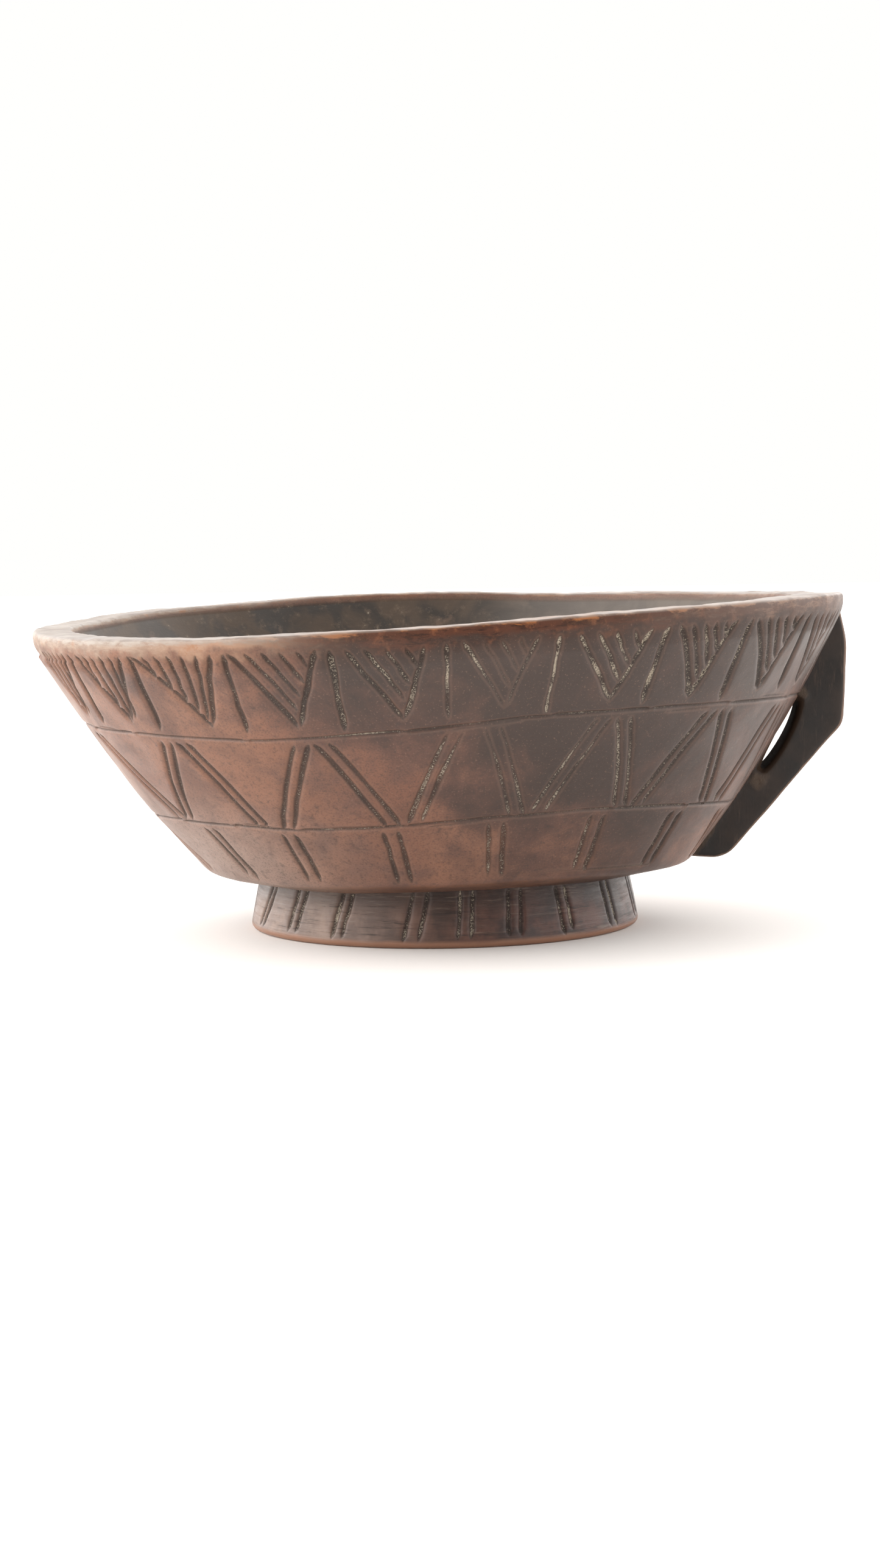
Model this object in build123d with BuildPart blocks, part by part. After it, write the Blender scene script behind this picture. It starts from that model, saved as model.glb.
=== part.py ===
from build123d import *

import math
import os

# A round wooden food bowl, carved from one block: an open vessel with sloping walls on a
# low flared foot, with one upright lug handle pierced by a narrow slot for a cord.
# Millimetres, +Z up. The origin is the centre of the foot's underside, and the handle
# points to +X. The bowl is hewn by eye, so the vessel's own axis leans off the foot's.

# Foot, which the bowl stands on
foot_height = 19.5
foot_top_radius = 69.0
foot_flare = 4.5
foot_worn_edge = 2.5
foot_root = 4.0

# Vessel's axis: its offset at the ground, and its lean away from the handle in degrees
vessel_shift = 2.6
vessel_lean = 1.7

# Heel: the blunt edge where the underside turns up into the wall
heel_radius = 90.3
heel_height = 24.0
heel_round = 9.0

# Rim of the mouth: a flat-topped lip with a short upright edge above the sloping wall
rim_radius = 150.0
rim_height = 117.5
rim_thickness = 13.5
lip_height = 5.0
lip_round = 3.0

# Belly: how far the wall's middle stands out of the straight line from heel to lip
belly = 2.3
belly_round = 600.0

# Hollow of the vessel
floor_thickness = 12.0
floor_round = 20.0
wall_thickness = 14.0

# Incised lines that run right round the wall, each below the lip by its drop
ring_drops = [28.9, 63.7]
ring_groove_radius = 1.1

# Lug handle, from the lip down to its toe
handle_thickness = 22.0
handle_brow_drop = 12.0
handle_brow_proud = 0.8
handle_knee_drop = 40.0
handle_knee_depth = 24.7
handle_bend_round = 9.0
handle_toe_lift = 2.5
handle_toe_depth = 11.8
handle_edge_round = 3.0
handle_root = 5.0

# Slot between the handle and the wall: a long round-ended hole that the wall half fills
slot_drop = 32.5
slot_height = 22.5
slot_depth = 6.5

# Brink: where the lip's upright edge meets the wall
brink_height = rim_height - lip_height
belly_height = (brink_height + heel_height) / 2
belly_radius = (rim_radius + heel_radius) / 2 + belly
ring_heights = [brink_height - drop for drop in ring_drops]
floor_height = foot_height + floor_thickness

lean_turn = math.radians(vessel_lean)
across = (math.cos(lean_turn), 0, math.sin(lean_turn))
vessel_up = (-math.sin(lean_turn), 0, math.cos(lean_turn))
vessel_axis = Axis((vessel_shift, 0, 0), vessel_up)
# Sketch plane through the vessel's axis: x is the radius, y the height along the axis
vessel_section = Plane(origin=(vessel_shift, 0, 0), x_dir=across, z_dir=(0, -1, 0))


def outward(height, heel, middle, brink):
    """Reach of the wall at a height, where each corner of its line is (reach, height)."""
    low, high = (heel, middle) if height < middle[1] else (middle, brink)
    share = (height - low[1]) / (high[1] - low[1])
    return low[0] + (high[0] - low[0]) * share


def wall_radius(height):
    """Outer radius of the wall at a height along the vessel's axis."""
    corners = (heel_radius, heel_height), (belly_radius, belly_height), (rim_radius, brink_height)
    return outward(height, *corners)


def handle_side(radius, height):
    """Point (x, z) above the ground of the vessel's section on the handle's side."""
    point = vessel_section.from_local_coords(Vector(radius, height, 0))
    return point.X, point.Z


heel_point = handle_side(heel_radius, heel_height)
belly_point = handle_side(belly_radius, belly_height)
brink_point = handle_side(rim_radius, brink_height)


def wall_point(height, depth=0.0):
    """Point (x, z) on the wall on the handle's side, moved out by depth."""
    return outward(height, heel_point, belly_point, brink_point) + depth, height


# Vessel: underside, wall, rim and hollow in one turned section
with BuildPart() as vessel:
    with BuildSketch(vessel_section):
        with BuildLine():
            outline = FilletPolyline(
                (0, floor_height),
                (wall_radius(floor_height) - wall_thickness, floor_height),
                (rim_radius - rim_thickness, rim_height),
                (rim_radius, rim_height),
                (rim_radius, brink_height),
                (belly_radius, belly_height),
                (heel_radius, heel_height),
                (foot_top_radius, foot_height),
                radius=[floor_round, lip_round, lip_round, lip_round, belly_round, heel_round],
            )
            Polyline(outline @ 1, (0, foot_height), (0, floor_height))
        make_face()
    revolve(axis=vessel_axis)
    with BuildSketch(vessel_section):
        with Locations([(wall_radius(height), height) for height in ring_heights]):
            Circle(ring_groove_radius)
    revolve(axis=vessel_axis, mode=Mode.SUBTRACT)

# Foot: a low flared pedestal, let up against the vessel's underside
with BuildPart() as foot:
    with BuildSketch(Plane.XZ):
        with BuildLine():
            side = FilletPolyline(
                (0, 0),
                (foot_top_radius + foot_flare, 0),
                (foot_top_radius, foot_height),
                radius=foot_worn_edge,
            )
            Polyline(
                side @ 1,
                (foot_top_radius, foot_height + foot_root),
                (0, foot_height + foot_root),
                (0, 0),
            )
        make_face()
    revolve(axis=Axis.Z)
    add(vessel.part, mode=Mode.SUBTRACT)

# Handle: an upright lug, cut to the wall, then pierced
brow_x, brow_z = brink_point[0] + handle_brow_proud, brink_point[1] - handle_brow_drop
toe_height = heel_height + handle_toe_lift
slot_top = wall_point(brink_point[1] - slot_drop)
slot_bottom = wall_point(brink_point[1] - slot_drop - slot_height)
slot_line = Vector(*slot_top) - Vector(*slot_bottom)
with BuildPart() as handle:
    with BuildSketch(Plane.XZ):
        with BuildLine():
            face = FilletPolyline(
                brink_point,
                (brow_x, brow_z),
                wall_point(brink_point[1] - handle_knee_drop, handle_knee_depth),
                wall_point(toe_height, handle_toe_depth),
                wall_point(toe_height),
                radius=handle_bend_round,
            )
            Polyline(
                face @ 1,
                wall_point(toe_height, -handle_root),
                (brink_point[0] - handle_root, brink_point[1]),
                face @ 0,
            )
        make_face()
    extrude(amount=handle_thickness / 2, both=True)
    fillet(handle.faces().filter_by(Axis.Y).edges(), handle_edge_round)
    add(vessel.part, mode=Mode.SUBTRACT)
    with BuildSketch(Plane.XZ):
        with Locations((Vector(*slot_top) + Vector(*slot_bottom)) / 2):
            turn = math.degrees(math.atan2(slot_line.Y, slot_line.X))
            SlotOverall(slot_line.length, 2 * slot_depth, rotation=turn)
    extrude(amount=handle_thickness, both=True, mode=Mode.SUBTRACT)

os.makedirs("parts", exist_ok=True)
for name, piece in {"vessel": vessel, "foot": foot, "handle": handle}.items():
    piece.part.label = name
    export_step(piece.part, f"parts/{name}.step")
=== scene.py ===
"""Looks of a carved wooden food bowl on a low foot, with one pierced lug handle.

Sizes in this script are millimetres and degrees. Azimuth is measured round the bowl's axis from
the front, the side that faces -Y, and grows towards the handle at +X. Height is measured up the
vessel's own axis, which leans a little off the foot's.
"""

import math

import bpy
import numpy as np
from mathutils import Matrix, Vector, kdtree, noise


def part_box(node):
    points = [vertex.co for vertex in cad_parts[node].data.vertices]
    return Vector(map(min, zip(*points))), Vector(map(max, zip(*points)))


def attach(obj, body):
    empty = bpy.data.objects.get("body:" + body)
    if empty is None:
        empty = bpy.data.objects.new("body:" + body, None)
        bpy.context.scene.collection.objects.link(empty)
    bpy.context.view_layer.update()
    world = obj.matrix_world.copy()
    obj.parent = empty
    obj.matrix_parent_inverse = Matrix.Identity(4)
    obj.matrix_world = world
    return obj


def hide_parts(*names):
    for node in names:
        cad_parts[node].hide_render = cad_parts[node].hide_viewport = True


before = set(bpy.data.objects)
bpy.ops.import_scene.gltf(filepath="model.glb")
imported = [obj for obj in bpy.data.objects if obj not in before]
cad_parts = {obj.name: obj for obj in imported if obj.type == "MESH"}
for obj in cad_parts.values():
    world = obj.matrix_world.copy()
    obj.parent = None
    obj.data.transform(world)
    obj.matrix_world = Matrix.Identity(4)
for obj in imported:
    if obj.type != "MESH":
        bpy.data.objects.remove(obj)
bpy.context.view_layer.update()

MM = 0.001
random = np.random.default_rng(11)

# Vessel: how it stands, and its section
VESSEL_SHIFT = 2.6
VESSEL_LEAN = math.radians(1.7)
RIM_RADIUS = (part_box("vessel")[1].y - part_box("vessel")[0].y) / 2 / MM
RIM_HEIGHT = 117.5
LIP_HEIGHT = 5.0
LIP_THICKNESS = 13.5
BRINK_HEIGHT = RIM_HEIGHT - LIP_HEIGHT
INNER_RADIUS = RIM_RADIUS - LIP_THICKNESS
HEEL_RADIUS = 90.3
HEEL_HEIGHT = 24.0
BELLY = 2.3
WALL_THICKNESS = 14.0
FLOOR_THICKNESS = 12.0
FLOOR_ROUND = 20.0
HEEL_ROUND = 9.0
# Nearer to the axis than this, the hewn unevenness dies out
EVEN_REACH = 70.0

# Foot, which the vessel's underside rests on
FOOT_RADIUS = (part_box("foot")[1].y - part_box("foot")[0].y) / 2 / MM
FOOT_TOP_RADIUS = 69.0
FOOT_HEIGHT = 19.5
FLOOR_HEIGHT = FOOT_HEIGHT + FLOOR_THICKNESS

# Two incised lines run round the wall. Each wanders: (azimuth, height) where it was cut
UPPER_RING = 83.6
LOWER_RING = 48.8
UPPER_RING_PATH = [
    (-90, 84), (-52, 83), (-27, 81), (-5, 82.5), (12, 84.5), (45, 83), (90, 80), (135, 82.5), (180, 84.5),
    (225, 83),
]
LOWER_RING_PATH = [
    (-90, 48), (-60, 49), (-30, 47.5), (-15, 47.5), (8, 49.5), (25, 49.5), (45, 47.5), (70, 44), (120, 46),
    (180, 49.5), (230, 48),
]

# Vertices in a ring of each mesh, a multiple of 16. They are closer together at the front, by a share
VESSEL_COLUMNS = 1200
FOOT_COLUMNS = 720
FRONT_DENSITY = 0.25
# Height between two rows of the wall
ROW_SPACING = 0.88

# Kinds of surface that a vertex of the vessel is on
UNDERSIDE, WALL, LIP, HOLLOW = range(4)


def blend_at(angle, path):
    """Value at an azimuth of a closed path of (azimuth, value) points."""
    known = np.array([(a + turn, value) for turn in (-360, 0, 360) for a, value in path], float)
    return np.interp(angle, known[:, 0], known[:, 1])


def bump_at(angle, middle, reach):
    """From 0 to 1: a smooth bump in azimuth round a middle."""
    away = (np.asarray(angle) - middle + 180) % 360 - 180
    return np.exp(-((away / reach) ** 2))


def smooth(low, high, value):
    """From 0 at low to 1 at high, with soft ends."""
    share = np.clip((value - low) / (high - low), 0, 1)
    return share * share * (3 - 2 * share)


def noise_at(points, size, layer):
    """Smooth noise from -1 to 1 at points in mm, with lumps of a size in mm."""
    shift = Vector((layer * 17.3, layer * 5.1, layer * 9.7))
    return np.array([noise.noise(Vector(p) / size + shift) for p in points])


def wall_radius(height):
    """Outer radius of the wall at a height: a line from heel to brink, pushed out in its middle."""
    share = (height - HEEL_HEIGHT) / (BRINK_HEIGHT - HEEL_HEIGHT)
    bulge = BELLY * (1 - (2 * share - 1) ** 2)
    return HEEL_RADIUS + (RIM_RADIUS - HEEL_RADIUS) * share + np.where(share > 0, bulge, 0)


def hewn_height(azimuth, height):
    """Height after the unevenness of handwork: the wandering rings, and a rim that isn't level."""
    knots = [0, HEEL_HEIGHT, LOWER_RING, UPPER_RING, BRINK_HEIGHT]
    heel = 0.5 * bump_at(azimuth, -75, 30) - 2.6 * bump_at(azimuth, 75, 35) + 0.6 * bump_at(azimuth, 0, 40)
    lower = blend_at(azimuth, LOWER_RING_PATH) - LOWER_RING
    upper = blend_at(azimuth, UPPER_RING_PATH) - UPPER_RING
    shifts = [0 * heel, heel, lower, upper, 0 * heel]
    shift = np.zeros(np.broadcast(azimuth, height).shape)
    for low, high, below, above in zip(knots, knots[1:], shifts, shifts[1:]):
        share = np.clip((height - low) / (high - low), 0, 1)
        between = (height >= low) & (height < high)
        shift = np.where(between, below + (above - below) * share, shift)
    rise = np.clip((height - HEEL_HEIGHT) / (RIM_HEIGHT - HEEL_HEIGHT), 0, 1)
    saddle = 1.6 * np.sin(2 * np.radians(azimuth)) + 2.2 * bump_at(azimuth, 180, 32)
    dips = 0.8 * bump_at(azimuth, -107, 13) + 1.1 * bump_at(azimuth, 160, 14) + 1.6 * bump_at(azimuth, 95, 7)
    return height + shift + rise * (saddle - dips)


def place(azimuth, radius, height):
    """World point in mm of a point of the leaning vessel."""
    turn = np.radians(azimuth)
    side, front = radius * np.sin(turn), radius * np.cos(turn)
    up = height + (hewn_height(azimuth, height) - height) * smooth(0, EVEN_REACH, radius)
    x = VESSEL_SHIFT + side * math.cos(VESSEL_LEAN) - up * math.sin(VESSEL_LEAN)
    z = side * math.sin(VESSEL_LEAN) + up * math.cos(VESSEL_LEAN)
    return np.stack(np.broadcast_arrays(x, -front, z), axis=-1)


def rounded(corners, radii, step):
    """Points along a line of corners, its inner corners rounded, about a step apart."""
    corners = [np.array(c, float) for c in corners]
    line = [corners[0]]
    for before, corner, after, radius in zip(corners, corners[1:], corners[2:], radii):
        back, on = before - corner, after - corner
        back, on = back / np.linalg.norm(back), on / np.linalg.norm(on)
        half = math.acos(float(np.clip(back @ on, -1, 1))) / 2
        reach = radius / math.tan(half)
        middle = corner + (back + on) / np.linalg.norm(back + on) * radius / math.sin(half)
        first, last = corner + back * reach - middle, corner + on * reach - middle
        sweep = math.pi - 2 * half
        for share in np.linspace(0, 1, max(3, int(radius * sweep / step) + 1)):
            # Turns evenly from the arc's first radius to its last
            ray = (first * math.sin((1 - share) * sweep) + last * math.sin(share * sweep)) / math.sin(sweep)
            line.append(middle + ray)
    line.append(corners[-1])
    line = np.array(line)
    run = np.concatenate([[0], np.cumsum(np.linalg.norm(np.diff(line, axis=0), axis=1))])
    at = np.linspace(0, run[-1], max(2, int(round(run[-1] / step)) + 1))
    return np.stack([np.interp(at, run, line[:, 0]), np.interp(at, run, line[:, 1])], axis=1)


def ring_azimuths(count):
    """Azimuths of a ring of vertices, closer together at the front."""
    turn = np.arange(count) * 2 * math.pi / count
    return np.degrees(turn - FRONT_DENSITY * np.sin(turn))


class Grid:
    """A closed mesh of rings of points, from the middle of its underside up round to its last middle."""

    def __init__(self):
        self.rings = []
        self.faces = []
        self.last = None
        self.total = 0

    def ring(self, points):
        """Adds a ring in mm, joined to the last one."""
        indices = np.arange(self.total, self.total + len(points))
        if self.last is not None:
            self.join(self.last, indices)
        self.rings.append(points)
        self.last = indices
        self.total += len(points)

    def join(self, old, new):
        """Faces between two rings: of the same count, in the ratio 1 to 4 or 4 to 1, or with one a point."""
        if len(old) == len(new):
            self.faces += np.stack([old, np.roll(old, -1), np.roll(new, -1), new], axis=1).tolist()
            return
        fine, coarse, flip = (old, new, False) if len(old) > len(new) else (new, old, True)
        if len(coarse) == 1:
            faces = [(a, b, coarse[0]) for a, b in zip(fine, np.roll(fine, -1))]
        else:
            faces = []
            for k, (here, there) in enumerate(zip(coarse, np.roll(coarse, -1))):
                edge = [fine[(4 * k + j) % len(fine)] for j in range(5)]
                faces += [(edge[0], edge[1], here), (edge[1], edge[2], here), (edge[2], there, here)]
                faces += [(edge[2], edge[3], there), (edge[3], edge[4], there)]
        self.faces += [tuple(reversed(face)) if flip else face for face in faces]

    def points(self):
        """All its points in mm."""
        return np.concatenate(self.rings)

    def build(self, name):
        """A mesh object in metres."""
        mesh = bpy.data.meshes.new(name)
        faces = [tuple(int(index) for index in face) for face in self.faces]
        mesh.from_pydata((self.points() * MM).tolist(), [], faces)
        mesh.update()
        piece = bpy.data.objects.new(name, mesh)
        bpy.context.scene.collection.objects.link(piece)
        return piece


def paint(piece, name, values):
    """Writes one number per vertex, which the material reads by name."""
    layer = piece.data.attributes.new(name, "FLOAT", "POINT")
    layer.data.foreach_set("value", np.asarray(values, np.float32))


def shade_smooth(piece):
    """Shades every face of a piece smooth."""
    piece.data.polygons.foreach_set("use_smooth", [True] * len(piece.data.polygons))


def vertex_vectors(piece, name):
    """A vector of each of a piece's vertices, such as its place in metres."""
    vectors = np.zeros(len(piece.data.vertices) * 3, np.float32)
    piece.data.vertices.foreach_get(name, vectors)
    return vectors.reshape(-1, 3).astype(float)


def outward_normals(piece):
    """Unit normals of a piece's vertices."""
    return vertex_vectors(piece, "normal")


def move_vertices(piece, points):
    """Puts a piece's vertices at points in mm."""
    piece.data.vertices.foreach_set("co", (points * MM).astype(np.float32).ravel())
    piece.data.update()


# ---------------------------------------------------------------- knife work

# Beyond this many mm from its middle, nothing of a cut is felt
FAR = 4.0
# Millimetres of the wall's surface in a degree of azimuth, and in a millimetre of height
DEGREE_WIDTH = 2.3
WALL_SLANT = 1.2


def stroke(start, end, half, depth, dust, taper=2.5, degree_width=DEGREE_WIDTH):
    """Rows of (azimuth, height, half width, depth, dust) along one knife cut.

    It runs between two (azimuth, height) places, bows and shakes a little, and tapers in at its ends.
    """
    start, end = np.array(start, float), np.array(end, float)
    length = math.hypot((end[0] - start[0]) * degree_width, (end[1] - start[1]) * WALL_SLANT)
    count = max(6, int(length / 0.4))
    along = np.linspace(0, 1, count)
    bow = random.normal(0, 0.10) * np.sin(math.pi * along)
    shake = np.interp(along, np.linspace(0, 1, 7), random.normal(0, 0.07, 7))
    azimuth = start[0] + (end[0] - start[0]) * along + bow + shake
    height = start[1] + (end[1] - start[1]) * along
    ends = np.minimum(along, 1 - along) * length
    open_up = smooth(-0.6, taper, ends)
    press = np.interp(along, np.linspace(0, 1, 5), random.uniform(0.8, 1.15, 5))
    filled = np.interp(along, np.linspace(0, 1, 8), random.uniform(0.2, 1.3, 8)) * dust
    rows = [azimuth, height, half * press * (0.45 + 0.55 * open_up), depth * press * open_up, filled]
    return np.stack(rows, axis=1)


def dust_on(azimuth):
    """How much pale dust lies in the cuts on each side: most a little right of the front."""
    return 0.22 + 0.78 * bump_at(azimuth, 17, 27) + 0.4 * bump_at(azimuth, 150, 40)


# Hatched triangles that hang from the rim at the front: (left, apex, right, inner strokes, the side
# that the inner strokes end on)
FRONT_TRIANGLES = [
    (-73.5, -68.5, -63.0, 4, "left"),
    (-58.5, -52.8, -47.5, 4, "left"),
    (-44.8, -35.4, -31.2, 5, "left"),
    (-28.2, -20.9, -16.0, 4, "right"),
    (-12.0, -5.5, -1.8, 3, "right"),
    (3.2, 8.8, 12.8, 3, "right"),
    (18.2, 24.6, 28.5, 3, "right"),
    (33.0, 38.6, 42.8, 4, "right"),
    (47.2, 55.0, 58.6, 4, "right"),
    (63.8, 70.0, 74.0, 3, "right"),
]
# Single strokes that hang between them: (azimuth at the top, azimuth at the foot)
FRONT_SINGLES = [
    (-60.6, -63.0), (-45.4, -46.6), (-29.0, -29.6), (-14.0, -14.3), (1.0, 0.8),
    (15.6, 15.0), (31.0, 30.3), (45.8, 45.8), (61.0, 62.3), (76.5, 77.5),
]
# Double lines across the middle band at the front: (azimuth at the top, azimuth at the foot)
FRONT_ZIGZAG = [
    (-70.8, -59.5), (-47.0, -56.5), (-43.6, -35.6), (-21.5, -30.2), (-18.2, -9.8), (1.8, -5.6), (7.4, 12.4),
    (24.6, 16.8), (28.0, 33.4), (45.2, 37.2), (48.9, 56.2), (66.5, 62.0), (71.0, 76.0),
]
# Double lines down the lowest band at the front: (azimuth at the top, azimuth at the foot)
FRONT_PILLARS = [
    (-80.0, -70.0), (-51.8, -49.2), (-31.0, -30.8), (-10.5, -9.8), (9.0, 9.6), (29.2, 29.4), (49.0, 49.0),
    (68.0, 73.0),
]
# The hidden side goes on in the same way, from just past the handle round to the front's left end
HANDLE_AZIMUTH = 90.0
HIDDEN_START = HANDLE_AZIMUTH + 10
HIDDEN_END = 286.0
HIDDEN_TRIANGLES = 11
HIDDEN_ZIGZAGS = 17
HIDDEN_PILLARS = 10

# Heights between which each kind of cut runs
STROKE_TOP = 111.3
TRIANGLE_TIP = 88.0
SINGLE_TIP = 86.2
ZIGZAG_TOP, ZIGZAG_FOOT = 81.2, 49.6
PILLAR_TOP, PILLAR_FOOT = 46.6, 26.8


def triangle(left, apex, right, inner, ends_on, dust):
    """Strokes of one hatched triangle: two sides, and inner strokes that end on one of them."""
    top = STROKE_TOP + random.uniform(-0.4, 0.4)
    tip = TRIANGLE_TIP + random.uniform(-0.8, 0.8)
    cuts = [stroke((left, top), (apex, tip), 1.2, 1.25, dust)]
    cuts.append(stroke((right, top), (apex + 0.4, tip + 0.8), 1.15, 1.15, dust))
    for k in range(1, inner + 1):
        share = k / (inner + 1)
        begin = left + (right - left) * share
        if ends_on == "left":
            end = begin + (right - left) * (0.075 - 0.33 * share * share)
            reach = min(0.94, 0.93 * (end - left) / (apex - left))
        else:
            reach = (1 - share) ** 0.9 * 0.93
            end = begin + (apex - left) * reach * (1 - 0.25 * share)
        cuts.append(stroke((begin, top), (end, top + (tip - top) * reach), 0.95, 1.0, dust))
    return cuts


def doubled(start, end, gap, half, depth, dust):
    """Two knife lines side by side, a gap in degrees apart."""
    cuts = []
    for side in (-0.5, 0.5):
        near = (start[0] + side * gap, start[1])
        far = (end[0] + side * gap * random.uniform(1.0, 1.15), end[1] + random.uniform(-0.8, 0.8))
        cuts.append(stroke(near, far, half, depth, dust))
    return cuts


def upper_band():
    """Triangles and single strokes under the rim, all the way round."""
    triangles, singles = list(FRONT_TRIANGLES), list(FRONT_SINGLES)
    pitch = (HIDDEN_END - HIDDEN_START) / HIDDEN_TRIANGLES
    for k in range(HIDDEN_TRIANGLES):
        left = HIDDEN_START + k * pitch + random.uniform(-0.6, 0.6)
        width = random.uniform(10.0, 11.6)
        apex = left + width * random.uniform(0.5, 0.68)
        triangles.append((left, apex, left + width, int(random.integers(3, 6)), "right"))
        singles.append((left - 2.6, left - 2.4 + random.uniform(-0.8, 0.8)))
    cuts = []
    for left, apex, right, inner, ends_on in triangles:
        cuts += triangle(left, apex, right, inner, ends_on, dust_on(apex))
    for top, foot in singles:
        tip = SINGLE_TIP + random.uniform(-1, 1)
        cuts.append(stroke((top, STROKE_TOP), (foot, tip), 1.25, 1.3, 1.1 * dust_on(top)))
    return cuts


def middle_band():
    """Double lines that zigzag between the two rings."""
    lines = list(FRONT_ZIGZAG)
    for k in range(HIDDEN_ZIGZAGS):
        near = HANDLE_AZIMUTH + 11 + k * 10.2
        ends = (near, near + 8.4) if k % 2 else (near + 8.4, near)
        lines.append((ends[0] + random.uniform(-1, 1), ends[1] + random.uniform(-1, 1)))
    cuts = []
    for top, foot in lines:
        cuts += doubled((top, ZIGZAG_TOP), (foot, ZIGZAG_FOOT), 2.3, 1.1, 1.05, 0.8 * dust_on(top))
    return cuts


def lower_band():
    """Double lines down the lowest band, to just above the heel."""
    lines = list(FRONT_PILLARS)
    for k in range(HIDDEN_PILLARS):
        top = HANDLE_AZIMUTH + 15 + k * 18.4 + random.uniform(-1.5, 1.5)
        lines.append((top, top + random.uniform(-3, 3)))
    cuts = []
    for top, foot in lines:
        cuts += doubled((top, PILLAR_TOP), (foot, PILLAR_FOOT), 2.7, 1.05, 1.0, 0.7 * dust_on(top))
    return cuts


def ring_lines():
    """The incised lines that run right round, cut in short passes that overlap or run side by side."""
    cuts = []
    for height, depth in ((UPPER_RING, 0.85), (LOWER_RING, 0.8)):
        azimuth = -180.0
        while azimuth < 180:
            reach = random.uniform(14, 26)
            start = (azimuth - 1, height + random.uniform(-0.35, 0.35))
            end = (azimuth + reach, height + random.uniform(-0.35, 0.35))
            dust = 0.7 * dust_on(azimuth) + 0.9 * bump_at(azimuth, -32, 10)
            cuts.append(stroke(start, end, 0.6, depth, dust, taper=4.0))
            if random.random() < 0.4:
                offset = random.choice([-1, 1]) * random.uniform(0.9, 1.3)
                near = azimuth + random.uniform(0, reach * 0.4)
                end = (near + reach * 0.5, height + offset * 0.7)
                cuts.append(stroke((near, height + offset), end, 0.4, 0.35, 0.5, taper=4.0))
            azimuth += reach
    return cuts


def heel_line():
    """A faint scratch just above the heel, right of the front, which holds pale dust."""
    return stroke((20, 27.4), (50, 27.0), 0.5, 0.3, 1.3, taper=4.0)


def clear_of_handle(rows):
    """Keeps the rows of a cut that aren't under the handle."""
    away = np.abs((rows[:, 0] - HANDLE_AZIMUTH + 180) % 360 - 180)
    return rows[away > 3.0]


class KnifeWork:
    """Every cut as points in space, so that a vertex can look up the nearest one."""

    def __init__(self, cuts, to_space):
        self.rows = np.concatenate(cuts)
        self.tree = kdtree.KDTree(len(self.rows))
        for k, point in enumerate(to_space(self.rows[:, 0], self.rows[:, 1])):
            self.tree.insert(point, k)
        self.tree.balance()

    def at(self, points, cuttable):
        """Distance outside the cut's edge, its depth here, and its dust, for each cuttable point."""
        edge = np.full(len(points), FAR)
        depth = np.zeros(len(points))
        dust = np.zeros(len(points))
        for k in np.flatnonzero(cuttable):
            _, index, away = self.tree.find(points[k])
            if away < FAR:
                _, _, half, deep, filled = self.rows[index]
                edge[k] = away - half
                across = away / (half * 1.25)
                depth[k] = deep * math.exp(-1.3 * across * across)
                dust[k] = filled
        return edge, depth, dust


# ---------------------------------------------------------------- vessel

def wall_heights():
    """Heights of the wall's rows, closer together at the two rings."""
    rows = np.arange(HEEL_HEIGHT + 5.0, BRINK_HEIGHT - 4.0, ROW_SPACING)
    near = np.array([-1.6, -1.1, -0.7, -0.35, 0, 0.35, 0.7, 1.1, 1.6])
    for ring in (UPPER_RING, LOWER_RING):
        rows = rows[np.abs(rows - ring) > 2.0]
        rows = np.concatenate([rows, ring + near])
    return np.sort(rows)


def faces_in(radius, kind):
    """Whether a point is on the hollow, or on the lip's side of it."""
    return kind == HOLLOW or kind == LIP and radius < INNER_RADIUS + 0.4


def lip_share(radius, height, kind):
    """How much of the lip's own colour a point has: all on its top and edge, fading either way."""
    if faces_in(radius, kind):
        return float(smooth(RIM_HEIGHT - 3.5, RIM_HEIGHT - 0.3, height))
    outside = 0.5 * smooth(104.0, BRINK_HEIGHT, height) + 0.5 * smooth(BRINK_HEIGHT, RIM_HEIGHT, height)
    return float(outside) if kind in (WALL, LIP) else 0.0


def vessel_rows():
    """The vessel's rings, from the middle of its underside to the hollow's: (every, radius, height, kind).

    Every is how many columns there are to a vertex, or 0 where the ring is one point.
    """
    heights = wall_heights()
    low, high = heights[0], heights[-1]
    heel = rounded(
        [(FOOT_TOP_RADIUS - 8, FOOT_HEIGHT), (FOOT_TOP_RADIUS, FOOT_HEIGHT), (HEEL_RADIUS, HEEL_HEIGHT),
         (wall_radius(low), low)],
        [2.0, HEEL_ROUND], 1.25)
    under_lip = (INNER_RADIUS - 5, RIM_HEIGHT - 8)
    lip = rounded(
        [(wall_radius(high), high), (RIM_RADIUS, BRINK_HEIGHT), (RIM_RADIUS, RIM_HEIGHT),
         (INNER_RADIUS, RIM_HEIGHT), under_lip],
        [9.0, 1.3, 1.6], 0.75)
    floor_radius = wall_radius(FLOOR_HEIGHT) - WALL_THICKNESS
    hollow = rounded([under_lip, (floor_radius, FLOOR_HEIGHT), (0, FLOOR_HEIGHT)], [FLOOR_ROUND], 2.2)

    rows = [(0, 0.0, FOOT_HEIGHT, UNDERSIDE), (4, 30.0, FOOT_HEIGHT, UNDERSIDE)]
    rows += [(1, radius, height, WALL) for radius, height in heel[:-1]]
    rows += [(1, wall_radius(height), height, WALL) for height in heights]
    rows += [(1, radius, height, LIP) for radius, height in lip[1:]]
    for radius, height in hollow[1:]:
        if radius >= 2.0:
            rows.append((4 if radius > 45 else 16, radius, height, HOLLOW))
    return rows + [(0, 0.0, FLOOR_HEIGHT, HOLLOW)]


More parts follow.
